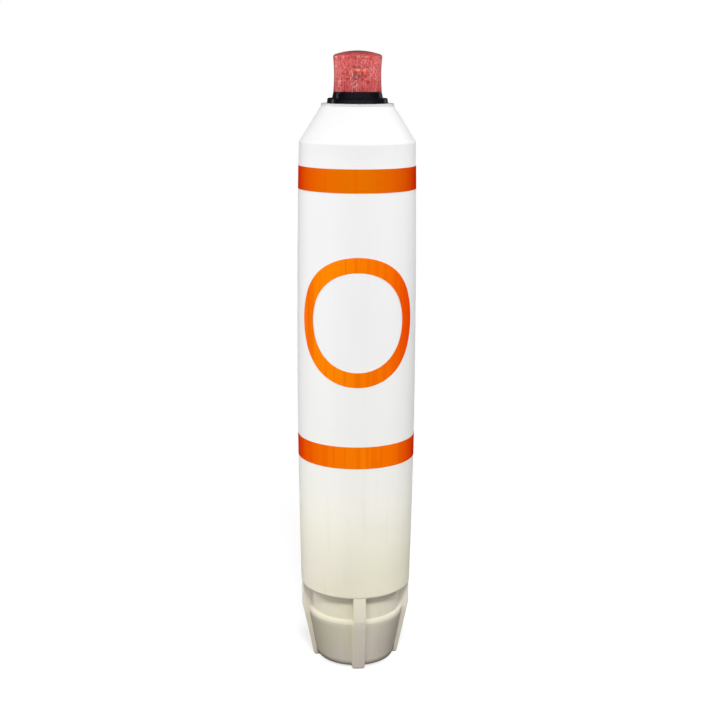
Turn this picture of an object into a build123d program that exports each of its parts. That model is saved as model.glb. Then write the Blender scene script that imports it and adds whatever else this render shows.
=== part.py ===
from build123d import *
import os
from math import cos, radians, sin, sqrt

# Regulatory marker buoy: a moulded, foam-filled can with ring signs, tape bands, a mooring eye and a solar lantern.
# Millimetres, +Z up. The origin is on the floor, under the middle of the four rib feet.
# The front faces -Y, and the ribs of the base lie on the X and Y axes.

# Can: one moulding, slightly barrelled
body_radius = 135.0
bulge_height = 722.0
shoulder_height = 1222.0
shoulder_drop = 5.7
shoulder_round = 9.0
top_radius = 80.5
hull_top_height = 1298.5

# Waist groove, tapered cup and underside of the can
waist_top_height = 187.0
waist_edge_round = 6.5
waist_wall_radius = 104.0
waist_corner_round = 4.0
ledge_top_height = 127.0
ledge_slope_run = 5.0
ledge_slope_drop = 3.0
ledge_edge_round = 3.0
cup_top_radius = 110.8
cup_top_height = 118.0
cup_top_round = 8.0
cup_bottom_radius = 90.5
rim_height = 4.0
rim_round = 6.0

# Ribs that bridge the waist and end as feet
rib_count = 4
rib_width = 29.3
rib_flush_inset = 1.3
rib_rise_into_body = 9.0
rib_taper_height = 130.0
rib_edge_round = 2.0
rib_root_round = 3.0
foot_outer_radius = 100.0
foot_inner_radius = 66.0
foot_bevel_height = 3.8
foot_bevel_inset = 3.0

# Recess under the base, with the mooring eye
recess_mouth_radius = 60.0
recess_roof_radius = 52.0
recess_roof_height = 70.0
recess_roof_round = 6.0
recess_mouth_round = 3.0
eye_bore_radius = 12.0
eye_radial_thickness = 11.0
eye_axial_thickness = 11.0
eye_corner_round = 3.0
eye_floor_gap = 4.0
eye_neck_radius = 7.0
eye_collar_radius = 12.0
eye_collar_thickness = 4.0
shank_radius = 8.0
shank_clearance = 0.3
shank_depth_in_ballast = 48.0
mooring_nut_flats = 24.0
mooring_nut_height = 9.0
mooring_plate_radius = 38.0
mooring_plate_thickness = 5.0
mooring_plate_chamfer = 1.0

# Ballast inside the base
ballast_radius = 75.0
ballast_height = 70.0
ballast_floor_thickness = 8.0
ballast_clearance = 0.3

# Filler and vent plugs in the rim
plug_circle_radius = 72.0
plug_head_radius = 9.0
plug_head_thickness = 2.4
plug_head_round = 0.8
plug_body_radius = 6.5
plug_body_length = 14.0
plug_clearance = 0.2
plug_slot_width = 2.0
plug_slot_depth = 1.2
plug_slot_length = 12.0
plug_azimuths = {"fill_plug": 45.0, "vent_plug": 225.0}

# Tape bands and ring signs, laid on the can
tape_lift = 0.15
tape_thickness = 0.45
band_width = 50.8
band_middles = {"upper_band": 1144.5, "lower_band": 529.5}
sign_middle_height = 836.5
sign_outer_radius = 144.5
sign_stroke = 33.3
sign_azimuths = {"front_ring": -3.3, "back_ring": 176.7}
sign_outline_arcs = 16

# Plate on the can's flat top
plate_thickness = 5.7
plate_chamfer = 0.6

# Lantern base: a flange screwed to the plate, and a tapered collar
flange_bottom_radius = 67.4
flange_top_radius = 66.1
flange_height = 11.3
flange_edge_round = 3.0
flange_floor = 4.0
screw_count = 4
screw_hole_radius = 2.25
screw_head_radius = 3.8
screw_head_depth = 4.5
collar_bottom_radius = 56.0
collar_top_radius = 53.2
collar_height = 12.8
collar_edge_round = 1.0
seal_inset = 0.8
seal_width = 3.5
seal_thickness = 1.0

# Lens: one waisted, domed shell with flutes moulded on its inside
lens_bottom_radius = 53.5
lens_waist_radius = 51.8
lens_shoulder_radius = 54.4
lens_height = 77.9
lens_waist_share = 0.55
lens_shoulder_round = 6.0
dome_rise = 9.8
dome_wall = 2.5
flute_count = 48
flute_crest_radius = 48.2
flute_root_radius = 49.3
dome_cavity_radius = 46.0

# Solar tray, and the panel that its riser holds close under the dome
tray_thickness = 2.5
tray_clearance = 0.2
riser_radius = 22.0
panel_side = 62.0
panel_corner_cut = 16.0
panel_thickness = 2.0
panel_dome_gap = 1.0

# Circuit board with its lamps, on standoffs
board_height_in_lantern = 48.0
board_clearance = 4.2
board_thickness = 1.6
standoff_count = 3
standoff_radius = 3.0
standoff_wall_gap = 3.5
tower_radius = 9.0
tower_height = 28.0
lamp_count = 6
lamp_radius = 2.5
lamp_barrel = 5.0
lamp_height_on_tower = 21.0
tower_cap_radius = 16.0
tower_cap_thickness = 2.0
terminal_length = 16.0
terminal_width = 9.0
terminal_height = 11.0
terminal_place = (-24.0, -16.0)

# Battery of four cells in a saddle holder
cell_count = 4
cell_radius = 7.1
cell_length = 50.0
cell_gap = 0.4
holder_wall = 2.0
holder_height = 8.0
holder_well_gap = 4.6

# Values worked out from the sizes above
barrel_length = shoulder_height - bulge_height
barrel_arc_radius = (barrel_length**2 + shoulder_drop**2) / (2 * shoulder_drop)
plate_top = hull_top_height + plate_thickness
flange_top = plate_top + flange_height
well_floor = plate_top + flange_floor
holder_width = cell_count * (2 * cell_radius + cell_gap) + 2 * holder_wall
holder_length = cell_length + cell_gap + 2 * holder_wall
well_radius = sqrt(holder_width**2 + holder_length**2) / 2 + holder_well_gap
screw_circle_radius = (collar_bottom_radius + flange_top_radius) / 2 - 0.5
standoff_circle_radius = well_radius - standoff_radius - standoff_wall_gap
board_radius = flute_crest_radius - board_clearance
seal_outer_radius = collar_top_radius - seal_inset
collar_top = flange_top + collar_height
lens_bottom = collar_top + seal_thickness
lens_shoulder = lens_bottom + lens_height
lens_apex = lens_shoulder + dome_rise
dome_radius = (lens_shoulder_radius**2 + dome_rise**2) / (2 * dome_rise)
tray_top = lens_shoulder - dome_wall
board_bottom = plate_top + board_height_in_lantern
board_top = board_bottom + board_thickness
tower_top = board_top + tower_height
eye_outer_radius = eye_bore_radius + eye_radial_thickness
eye_height = eye_floor_gap + eye_outer_radius
plate_underside = recess_roof_height - mooring_plate_thickness
nut_underside = plate_underside - mooring_nut_height
ballast_bottom = recess_roof_height + ballast_floor_thickness
shank_top = ballast_bottom + shank_depth_in_ballast


def body_radius_at(height, proud=0.0):
    """Radius of the barrelled can at a height, or of a skin that lies proud of it."""
    along = height - bulge_height
    return body_radius - barrel_arc_radius + sqrt((barrel_arc_radius + proud) ** 2 - along**2)


def barrel_arc(low, high, proud=0.0):
    """The can's outline between two heights, as one arc on the XZ plane."""
    middle = (low + high) / 2
    points = [(body_radius_at(height, proud), height) for height in (low, middle, high)]
    return ThreePointArc(*points)


def dome_height_at(radius, inset=0.0):
    """Height of the lens dome at a radius, or of its inner face a wall thickness inside."""
    return lens_apex - dome_radius + sqrt((dome_radius - inset) ** 2 - radius**2)


def section(*curves):
    """Closed face on the XZ plane, from curves drawn as (radius, height)."""
    return make_face([edge for curve in curves for edge in (Plane.XZ * curve).edges()])


def turned(*corners):
    """Solid of revolution about Z from straight-sided (radius, height) corners."""
    return revolve(section(Polyline(*corners, close=True)), Axis.Z)


def disc(radius, low, high):
    """Cylinder on the Z axis between two heights."""
    return Pos(0, 0, low) * Cylinder(radius, high - low, align=(Align.CENTER, Align.CENTER, Align.MIN))


def around(count, radius, first_azimuth=0.0):
    """Places evenly spaced on a circle, each with its local X pointing outwards."""
    return [Rot(0, 0, first_azimuth + index * 360 / count) * Pos(radius, 0, 0) for index in range(count)]


def rounded(face, corners):
    """The face with its corner nearest to each (radius, height) rounded by the radius beside it."""
    for (radius, height), round_radius in corners:
        corner = face.vertices().sort_by_distance((radius, 0, height))[0]
        face = fillet(corner, round_radius)
    return face


def edges_on_circle(solid, radius, height):
    """Circular edges of a solid about the Z axis, by radius and height."""
    def fits(edge):
        return (
            edge.geom_type == GeomType.CIRCLE
            and abs(edge.radius - radius) < 0.01
            and abs(edge.arc_center.Z - height) < 0.01
        )
    return solid.edges().filter_by(fits)


# Can

def can_outline():
    """Half section of the can, from the recess roof out over the cup, waist, barrel and cone to the top."""
    ledge_outer_radius = waist_wall_radius + ledge_slope_run
    ledge_outer_height = ledge_top_height - ledge_slope_drop
    lower = Polyline(
        (0, recess_roof_height),
        (recess_roof_radius, recess_roof_height),
        (recess_mouth_radius, rim_height),
        (cup_bottom_radius, rim_height),
        (cup_top_radius, cup_top_height),
        (ledge_outer_radius, ledge_outer_height),
        (waist_wall_radius, ledge_top_height),
        (waist_wall_radius, waist_top_height),
        (body_radius_at(waist_top_height), waist_top_height),
    )
    upper = Polyline(
        (body_radius_at(shoulder_height), shoulder_height),
        (top_radius, hull_top_height),
        (0, hull_top_height),
        (0, recess_roof_height),
    )
    face = section(lower, barrel_arc(waist_top_height, shoulder_height), upper)
    return rounded(face, [
        ((recess_roof_radius, recess_roof_height), recess_roof_round),
        ((recess_mouth_radius, rim_height), recess_mouth_round),
        ((cup_bottom_radius, rim_height), rim_round),
        ((cup_top_radius, cup_top_height), cup_top_round),
        ((ledge_outer_radius, ledge_outer_height), ledge_edge_round),
        ((waist_wall_radius, waist_top_height), waist_corner_round),
        ((body_radius_at(waist_top_height), waist_top_height), waist_edge_round),
        ((body_radius_at(shoulder_height), shoulder_height), shoulder_round),
    ])


def foot_waste():
    """What a bevel takes off one foot, all round its lower edge and below the rim."""
    blank = Box(foot_outer_radius, rib_width, foot_bevel_height, align=(Align.MIN, Align.CENTER, Align.MIN))
    half_width = rib_width / 2
    across = Polyline(
        (-half_width + foot_bevel_inset, 0),
        (half_width - foot_bevel_inset, 0),
        (half_width, foot_bevel_height),
        (-half_width, foot_bevel_height),
        close=True,
    )
    narrowed = extrude(Plane.YZ * make_face(across), body_radius)
    front = turned(
        (0, 0),
        (foot_outer_radius - foot_bevel_inset, 0),
        (foot_outer_radius + foot_bevel_inset, 2 * foot_bevel_height),
        (0, 2 * foot_bevel_height),
    )
    return Pos(foot_bevel_inset, 0, 0) * blank - (narrowed & front)


def ribs():
    """Ribs flush with the can, bridging the waist, tapering beside the cup and ending as feet."""
    flush_radius = body_radius_at(waist_top_height) - rib_flush_inset
    rib_top = waist_top_height + rib_rise_into_body
    envelope = turned(
        (foot_inner_radius, 0),
        (foot_outer_radius, 0),
        (flush_radius, rib_taper_height),
        (flush_radius, rib_top),
        (foot_inner_radius, rib_top),
    )
    slab = Box(body_radius, rib_width, rib_top, align=(Align.MIN, Align.CENTER, Align.MIN))
    rib = envelope & slab
    long_edges = rib.edges().filter_by(lambda edge: edge.bounding_box().size.Z > rib_edge_round)
    foot_middle_radius = (foot_outer_radius + foot_inner_radius) / 2
    rib = fillet(long_edges.filter_by_position(Axis.X, foot_middle_radius, body_radius), rib_edge_round)
    return [place * rib for place in around(rib_count, 0)]


def rib_root_edges(solid):
    """Edges where the ribs' flat sides meet the cup, the ledge and the waist wall."""
    def fits(edge):
        centre = edge.center()
        box = edge.bounding_box()
        across, out = sorted((abs(centre.X), abs(centre.Y)))
        return (
            abs(across - rib_width / 2) < 0.01
            and min(box.size.X, box.size.Y) < 0.01
            and box.size.Z > 0.5
            and box.min.Z > rim_height - 0.01
            and out < cup_top_radius + 1
        )
    return solid.edges().filter_by(fits)


def make_hull():
    hull = revolve(can_outline(), Axis.Z)
    for rib in ribs():
        hull += rib
    hull = fillet(rib_root_edges(hull), rib_root_round)
    for place in around(rib_count, 0):
        hull -= place * foot_waste()
    hull -= disc(
        ballast_radius + ballast_clearance, ballast_bottom, ballast_bottom + ballast_height + ballast_clearance
    )
    hull -= disc(shank_radius + shank_clearance, recess_roof_height - 1, ballast_bottom + 1)
    for azimuth in plug_azimuths.values():
        place = Rot(0, 0, azimuth) * Pos(plug_circle_radius, 0, 0)
        hull -= place * disc(
            plug_body_radius + plug_clearance, rim_height - 1, rim_height + plug_body_length + plug_clearance
        )
    return hull


# Mooring eye and ballast

def make_mooring_eye():
    """Forged eye with a flat land in its bore, a neck, a collar and the shank that is cast into the ballast."""
    ring_section = Plane.XZ * Pos(0, eye_height + eye_bore_radius + eye_radial_thickness / 2) * RectangleRounded(
        eye_axial_thickness, eye_radial_thickness, eye_corner_round
    )
    eye = revolve(ring_section, Axis((0, 0, eye_height), (1, 0, 0)))
    collar_bottom = nut_underside - eye_collar_thickness
    eye += disc(eye_neck_radius, eye_height + eye_outer_radius - 3, collar_bottom + 1)
    eye += disc(eye_collar_radius, collar_bottom, nut_underside)
    eye += disc(shank_radius, nut_underside - 1, shank_top)
    return eye


def make_mooring_nut():
    nut = extrude(
        Pos(0, 0, nut_underside) * RegularPolygon(mooring_nut_flats / 2, 6, major_radius=False), mooring_nut_height
    )
    nut &= turned(
        (0, nut_underside),
        (mooring_nut_flats / 2, nut_underside),
        (mooring_nut_flats / 2 + 2, nut_underside + 1.2),
        (mooring_nut_flats / 2 + 2, plate_underside),
        (0, plate_underside),
    )
    return nut - disc(shank_radius + shank_clearance, nut_underside - 1, plate_underside + 1)


def make_mooring_plate():
    plate = disc(mooring_plate_radius, plate_underside, recess_roof_height)
    plate = chamfer(edges_on_circle(plate, mooring_plate_radius, plate_underside), mooring_plate_chamfer)
    return plate - disc(shank_radius + shank_clearance, plate_underside - 1, recess_roof_height + 1)


def make_ballast_block():
    block = disc(ballast_radius, ballast_bottom, ballast_bottom + ballast_height)
    return block - disc(shank_radius + shank_clearance, ballast_bottom - 1, shank_top + shank_clearance)


def make_plug(azimuth):
    """Screw plug with a slotted head under the rim, kept above the feet."""
    head_bottom = rim_height - plug_head_thickness
    head = disc(plug_head_radius, head_bottom, rim_height)
    head = fillet(edges_on_circle(head, plug_head_radius, head_bottom), plug_head_round)
    head -= Pos(0, 0, head_bottom + plug_slot_depth / 2) * Box(plug_slot_length, plug_slot_width, plug_slot_depth)
    plug = head + disc(plug_body_radius, rim_height, rim_height + plug_body_length)
    return Rot(0, 0, azimuth) * Pos(plug_circle_radius, 0, 0) * plug


# Tape bands and ring signs

def tape_skin(low, high):
    """Thin tape that follows the can between two heights."""
    inner = barrel_arc(low, high, tape_lift)
    outer = barrel_arc(low, high, tape_lift + tape_thickness)
    return revolve(section(inner, Line(inner @ 1, outer @ 1), outer, Line(outer @ 0, inner @ 0)), Axis.Z)


def make_band(middle_height):
    return tape_skin(middle_height - band_width / 2, middle_height + band_width / 2)


def wrapped_disc(radius):
    """Cutter for a circle of tape wrapped round the can: seen from the front, it shrinks as the can turns away."""
    steps = 2 * sign_outline_arcs
    points = []
    for index in range(steps):
        angle = radians(index * 360 / steps)
        turn = radius * cos(angle) / body_radius
        points.append((body_radius * sin(turn), sign_middle_height + radius * sin(angle)))
    arcs = [
        ThreePointArc(points[index], points[index + 1], points[(index + 2) % steps])
        for index in range(0, steps, 2)
    ]
    return extrude(section(*arcs), body_radius + 2 * tape_thickness, dir=(0, -1, 0))


def make_sign_ring(azimuth):
    skin = tape_skin(sign_middle_height - sign_outer_radius - 1, sign_middle_height + sign_outer_radius + 1)
    front_disc = skin & wrapped_disc(sign_outer_radius)
    return Rot(0, 0, azimuth) * (front_disc - wrapped_disc(sign_outer_radius - sign_stroke))


# Plate and lantern base

def make_top_plate():
    plate = disc(top_radius, hull_top_height, plate_top)
    plate = chamfer(edges_on_circle(plate, top_radius, plate_top), plate_chamfer)
    for place in around(screw_count, screw_circle_radius, 45):
        plate -= place * disc(screw_hole_radius, hull_top_height - 1, plate_top + 1)
    return plate


def make_lantern_flange():
    flange = turned(
        (0, plate_top), (flange_bottom_radius, plate_top), (flange_top_radius, flange_top), (0, flange_top)
    )
    flange = fillet(edges_on_circle(flange, flange_top_radius, flange_top), flange_edge_round)
    flange -= disc(well_radius, well_floor, flange_top + 1)
    for place in around(screw_count, screw_circle_radius, 45):
        flange -= place * disc(screw_hole_radius, plate_top - 1, flange_top + 1)
        flange -= place * disc(screw_head_radius, flange_top - screw_head_depth, flange_top + 1)
    return flange


def make_lantern_collar():
    collar = turned(
        (well_radius, flange_top),
        (collar_bottom_radius, flange_top),
        (collar_top_radius, collar_top),
        (well_radius, collar_top),
    )
    return fillet(edges_on_circle(collar, collar_top_radius, collar_top), collar_edge_round)


def make_lens_seal():
    hole = disc(seal_outer_radius - seal_width, collar_top - 1, lens_bottom + 1)
    return disc(seal_outer_radius, collar_top, lens_bottom) - hole


# Lens

def make_lens():
    """Waisted lens with a domed top, fluted on the inside, and a step that the solar tray is bonded against."""
    waist = ThreePointArc(
        (lens_bottom_radius, lens_bottom),
        (lens_waist_radius, lens_bottom + lens_waist_share * lens_height),
        (lens_shoulder_radius, lens_shoulder),
    )
    dome_middle = lens_shoulder_radius / 2
    dome = ThreePointArc(
        (lens_shoulder_radius, lens_shoulder), (dome_middle, dome_height_at(dome_middle)), (0, lens_apex)
    )
    outside = section(waist, dome, Polyline((0, lens_apex), (0, lens_bottom), (lens_bottom_radius, lens_bottom)))
    outside = rounded(outside, [((lens_shoulder_radius, lens_shoulder), lens_shoulder_round)])
    lens = revolve(outside, Axis.Z)

    cavity_edge = dome_height_at(dome_cavity_radius, dome_wall)
    ceiling = ThreePointArc(
        (dome_cavity_radius, cavity_edge),
        (dome_cavity_radius / 2, dome_height_at(dome_cavity_radius / 2, dome_wall)),
        (0, lens_apex - dome_wall),
    )
    cavity = section(
        ceiling, Polyline((0, lens_apex - dome_wall), (0, tray_top), (dome_cavity_radius, tray_top),
                          (dome_cavity_radius, cavity_edge))
    )
    lens -= revolve(cavity, Axis.Z)

    flutes = []
    for index in range(2 * flute_count):
        radius = flute_crest_radius if index % 2 else flute_root_radius
        angle = radians(index * 180 / flute_count)
        flutes.append((radius * cos(angle), radius * sin(angle)))
    star = Pos(0, 0, lens_bottom) * make_face(Polyline(*flutes, close=True))
    return lens - extrude(star, tray_top - lens_bottom)


# Inside the lens

def panel_underside():
    """Height that leaves the panel's corners their gap below the dome."""
    corner_radius = sqrt((panel_side / 2) ** 2 + (panel_side / 2 - panel_corner_cut) ** 2)
    return dome_height_at(corner_radius, dome_wall) - panel_dome_gap - panel_thickness


def make_solar_tray():
    tray = disc(flute_crest_radius - tray_clearance, tray_top - tray_thickness, tray_top)
    return tray + disc(riser_radius, tray_top - tray_thickness, panel_underside())


def make_solar_panel():
    outline = chamfer(Rectangle(panel_side, panel_side).vertices(), panel_corner_cut)
    return extrude(Pos(0, 0, panel_underside()) * outline, panel_thickness)


def make_circuit_board():
    return disc(board_radius, board_bottom, board_top)


def make_board_standoffs():
    post = disc(standoff_radius, well_floor, board_bottom)
    return Compound([place * post for place in around(standoff_count, standoff_circle_radius)])


def make_terminal_block():
    x, y = terminal_place
    block = Pos(x, y, board_top) * Box(
        terminal_length, terminal_width, terminal_height, align=(Align.CENTER, Align.CENTER, Align.MIN)
    )
    return chamfer(block.edges().group_by(Axis.Z)[-1], 1.0)


def make_lamp_tower():
    return extrude(
        Pos(0, 0, board_top) * RegularPolygon(tower_radius, lamp_count, major_radius=False), tower_height
    )


def make_lamps():
    """Small round-nosed lamps that look outwards from the tower's faces."""
    height = board_top + lamp_height_on_tower
    barrel = section(Polyline((0, 0), (lamp_radius, 0), (lamp_radius, lamp_barrel)),
                     RadiusArc((lamp_radius, lamp_barrel), (0, lamp_barrel + lamp_radius), -lamp_radius),
                     Line((0, lamp_barrel + lamp_radius), (0, 0)))
    lamp = revolve(barrel, Axis.Z)
    first_face = 180 / lamp_count
    return Compound([
        Pos(0, 0, height) * place * Rot(0, 90, 0) * lamp for place in around(lamp_count, tower_radius, first_face)
    ])


def make_tower_cap():
    return disc(tower_cap_radius, tower_top, tower_top + tower_cap_thickness)


def cell_offsets():
    """Distances of the battery cells' axes from the middle, across the holder."""
    pitch = 2 * cell_radius + cell_gap
    return [(index - (cell_count - 1) / 2) * pitch for index in range(cell_count)]


def battery_cell(offset, extra_radius=0.0, extra_length=0.0):
    axis_height = well_floor + holder_wall + cell_radius
    return Pos(offset, 0, axis_height) * Rot(90, 0, 0) * Cylinder(cell_radius + extra_radius, cell_length + extra_length)


def make_battery_cells():
    return Compound([battery_cell(offset) for offset in cell_offsets()])


def make_battery_holder():
    holder = Pos(0, 0, well_floor) * Box(
        holder_width, holder_length, holder_height, align=(Align.CENTER, Align.CENTER, Align.MIN)
    )
    for offset in cell_offsets():
        holder -= battery_cell(offset, cell_gap / 2, cell_gap)
    return holder


def make_parts():
    """Every piece by its name."""
    parts = {
        "hull": make_hull(),
        "mooring_eye": make_mooring_eye(),
        "mooring_nut": make_mooring_nut(),
        "mooring_plate": make_mooring_plate(),
        "ballast_block": make_ballast_block(),
        "top_plate": make_top_plate(),
        "lantern_flange": make_lantern_flange(),
        "lantern_collar": make_lantern_collar(),
        "lens_seal": make_lens_seal(),
        "lens": make_lens(),
        "solar_tray": make_solar_tray(),
        "solar_panel": make_solar_panel(),
        "circuit_board": make_circuit_board(),
        "board_standoffs": make_board_standoffs(),
        "terminal_block": make_terminal_block(),
        "lamp_tower": make_lamp_tower(),
        "lamps": make_lamps(),
        "tower_cap": make_tower_cap(),
        "battery_cells": make_battery_cells(),
        "battery_holder": make_battery_holder(),
    }
    for name, azimuth in plug_azimuths.items():
        parts[name] = make_plug(azimuth)
    for name, middle_height in band_middles.items():
        parts[name] = make_band(middle_height)
    for name, azimuth in sign_azimuths.items():
        parts[name] = make_sign_ring(azimuth)
    return parts


os.makedirs("parts", exist_ok=True)
for name, part in make_parts().items():
    export_step(part, f"parts/{name}.step")
    print(f"{name:16s} {len(part.solids())} solids {part.volume / 1000:10.2f} cm3")
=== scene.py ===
"""Looks of a slim can marker buoy: its studio, its finishes, and the small pieces that its solid model leaves out.

Metres, +Z up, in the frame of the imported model: the front ring faces -Y and the ribs lie on the X and Y axes.
"""
import logging
from dataclasses import dataclass, field
from enum import Enum
from math import cos, pi, radians, sin, tau
from typing import Union

import bpy
import numpy as np
from mathutils import Matrix, Vector


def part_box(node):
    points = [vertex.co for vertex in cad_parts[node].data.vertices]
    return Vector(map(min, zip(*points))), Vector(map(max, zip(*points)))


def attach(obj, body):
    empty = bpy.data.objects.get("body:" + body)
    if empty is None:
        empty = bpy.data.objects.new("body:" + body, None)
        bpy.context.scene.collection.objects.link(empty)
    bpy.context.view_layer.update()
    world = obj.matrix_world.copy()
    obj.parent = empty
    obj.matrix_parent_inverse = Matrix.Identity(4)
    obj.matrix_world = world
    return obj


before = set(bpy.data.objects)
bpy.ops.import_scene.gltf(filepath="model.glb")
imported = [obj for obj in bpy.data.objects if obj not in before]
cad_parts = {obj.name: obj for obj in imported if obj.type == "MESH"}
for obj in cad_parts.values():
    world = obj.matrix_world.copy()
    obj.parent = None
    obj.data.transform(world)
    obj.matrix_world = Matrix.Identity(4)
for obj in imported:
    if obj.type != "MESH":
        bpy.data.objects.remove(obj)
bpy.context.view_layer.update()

LOG = logging.getLogger("buoy")
BODY = "root"

Colour = tuple[float, float, float, float]
Triple = tuple[float, float, float]
Pair = tuple[float, float]
Stops = tuple[tuple[float, Colour], ...]


def ink(red: float, green: float, blue: float) -> Colour:
    """Linear colour of the values, 0 to 255, that a colour has on a screen.

    Args:
        red: Red value.
        green: Green value.
        blue: Blue value.

    Returns:
        The linear colour, fully opaque.
    """
    shares = np.array([red, green, blue]) / 255
    linear = np.where(shares <= 0.04045, shares / 12.92, ((shares + 0.055) / 1.055) ** 2.4)
    return (*(float(value) for value in linear), 1.0)


# Shader maths


class Wire:
    """A value in a node tree. Python's operators on it add Math nodes to the same tree."""

    def __init__(self, graph: "Graph", socket: Union[bpy.types.NodeSocket, None]) -> None:
        """Keeps the graph and the output socket."""
        self.graph = graph
        self.socket = socket

    def __add__(self, other: "Number") -> "Wire":
        """Sum."""
        return self.graph.math("ADD", self, other)

    __radd__ = __add__

    def __sub__(self, other: "Number") -> "Wire":
        """Difference."""
        return self.graph.math("SUBTRACT", self, other)

    def __rsub__(self, other: "Number") -> "Wire":
        """Difference from a number."""
        return self.graph.math("SUBTRACT", other, self)

    def __mul__(self, other: "Number") -> "Wire":
        """Product."""
        return self.graph.math("MULTIPLY", self, other)

    __rmul__ = __mul__

    def __truediv__(self, other: "Number") -> "Wire":
        """Quotient."""
        return self.graph.math("DIVIDE", self, other)

    def __rtruediv__(self, other: "Number") -> "Wire":
        """A number divided by this."""
        return self.graph.math("DIVIDE", other, self)

    def __pow__(self, other: "Number") -> "Wire":
        """Power."""
        return self.graph.math("POWER", self, other)

    def __abs__(self) -> "Wire":
        """Absolute value."""
        return self.graph.math("ABSOLUTE", self)

    def rise(self, low: float, high: float) -> "Wire":
        """Smooth step.

        Args:
            low: Value at which the step starts, giving 0.
            high: Value at which it ends, giving 1. It may lie below low, for a fall.

        Returns:
            The step, from 0 to 1.
        """
        if high < low:
            return 1 - self.rise(high, low)
        sockets = {"Value": self, "From Min": low, "From Max": high}
        return self.graph.node("MapRange", {"interpolation_type": "SMOOTHSTEP"}, sockets)


Number = Union[Wire, float]
Sockets = dict[str, Union[Wire, float, Colour]]


def length(across: Wire, along: Wire) -> Wire:
    """Length of a flat vector from its two parts."""
    return (across * across + along * along) ** 0.5


class Graph:
    """One node tree, whose nodes are all made by one method."""

    def __init__(self, tree: bpy.types.NodeTree) -> None:
        """Empties the tree."""
        self.tree = tree
        self.tree.nodes.clear()

    def node(
        self, kind: str, settings: Union[dict, None] = None, sockets: Union[dict, None] = None,
        output: Union[int, str] = 0,
    ) -> Wire:
        """Adds a node.

        Args:
            kind: Node type, without the ShaderNode that starts its name.
            settings: The node's own settings, set first. "stops" are a ramp's (place, colour) pairs.
            sockets: Values or wires by input name or index.
            output: Name or index of the output wanted.

        Returns:
            The wire from that output, or an empty one where the node has no output.
        """
        node = self.tree.nodes.new("ShaderNode" + kind)
        for name, value in (settings or {}).items():
            if name == "stops":
                self.set_stops(node.color_ramp, value)
            else:
                setattr(node, name, value)
        for name, value in (sockets or {}).items():
            if isinstance(value, Wire):
                self.tree.links.new(value.socket, node.inputs[name])
            else:
                node.inputs[name].default_value = value
        return Wire(self, node.outputs[output] if len(node.outputs) else None)

    @staticmethod
    def set_stops(ramp: bpy.types.ColorRamp, stops: Stops) -> None:
        """Gives a ramp its stops.

        Args:
            ramp: The ramp to change.
            stops: Places from 0 to 1, rising, each with its colour.
        """
        while len(ramp.elements) > 1:
            ramp.elements.remove(ramp.elements[-1])
        ramp.elements[0].position, ramp.elements[0].color = stops[0]
        for place, colour in stops[1:]:
            ramp.elements.new(place).color = colour

    def math(self, operation: str, *values: Number) -> Wire:
        """Math node on one to three values."""
        return self.node("Math", {"operation": operation}, dict(enumerate(values)))

    def vector(self, operation: str, *values: Union[Wire, Triple]) -> Wire:
        """Vector Math node on one or two vectors."""
        return self.node("VectorMath", {"operation": operation}, dict(enumerate(values)))

    def mix(self, share: Number, first: Union[Wire, Colour], second: Union[Wire, Colour]) -> Wire:
        """Colour between two colours.

        Args:
            share: 0 gives the first colour and 1 the second.
            first: Colour at 0.
            second: Colour at 1.

        Returns:
            The mixed colour.
        """
        return self.node("Mix", {"data_type": "RGBA"}, {0: share, 6: first, 7: second}, 2)

    def place(self) -> Wire:
        """Object coordinates, which are the frame's own metres on every piece."""
        return self.node("TexCoord", output="Object")

    def split(self, vector: Wire) -> tuple[Wire, Wire, Wire]:
        """X, Y and Z of a vector."""
        first = self.node("SeparateXYZ", sockets={0: vector})
        return tuple(Wire(self, output) for output in first.socket.node.outputs)

    def join(self, x: Number, y: Number, z: Number) -> Wire:
        """Vector from its X, Y and Z."""
        return self.node("CombineXYZ", sockets={0: x, 1: y, 2: z})

    def azimuth(self, x: Wire, y: Wire) -> Wire:
        """Angle of a place about the Z axis, in radians."""
        return self.math("ARCTAN2", y, x)

    def wave(self, phase: Wire) -> Wire:
        """Sine wave between 0 and 1."""
        return self.math("SINE", phase) * 0.5 + 0.5

    def noise(self, at: Wire, scale: float, detail: float = 2.0, rough: float = 0.5) -> Wire:
        """Cloudy noise about 0.5, with this many lumps to a unit of the vector."""
        return self.node("TexNoise", {}, {"Vector": at, "Scale": scale, "Detail": detail, "Roughness": rough})

    def stretched(self, at: Wire, lumps: Triple, detail: float = 2.0, rough: float = 0.5) -> Wire:
        """Noise with its own number of lumps to a metre along each axis."""
        return self.noise(self.vector("MULTIPLY", at, lumps), 1.0, detail, rough)

    def wrapped(self, angle: Wire, z: Wire, lumps: Triple, detail: float = 1.0) -> Wire:
        """Noise round the Z axis: its lumps to a radian and to a metre of height, and the slice of it taken."""
        turns, rows, section = lumps
        return self.noise(self.join(angle * turns, z * rows, section), 1.0, detail)

    def cells(self, at: Wire, scale: float, output: str = "Distance") -> Wire:
        """Voronoi cells: the distance to the nearest point, or a random colour for each cell."""
        return self.node("TexVoronoi", {}, {"Vector": at, "Scale": scale}, output)

    def bump(self, height: Wire, depth: float, normal: Union[Wire, None] = None) -> Wire:
        """Relief.

        Args:
            height: Height from 0 to 1.
            depth: What a height of 1 is worth, in metres.
            normal: Relief that this one is added to.

        Returns:
            The bumped normal.
        """
        sockets = {"Height": height, "Distance": depth, "Strength": 1.0}
        if normal is not None:
            sockets["Normal"] = normal
        return self.node("Bump", {}, sockets)


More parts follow.
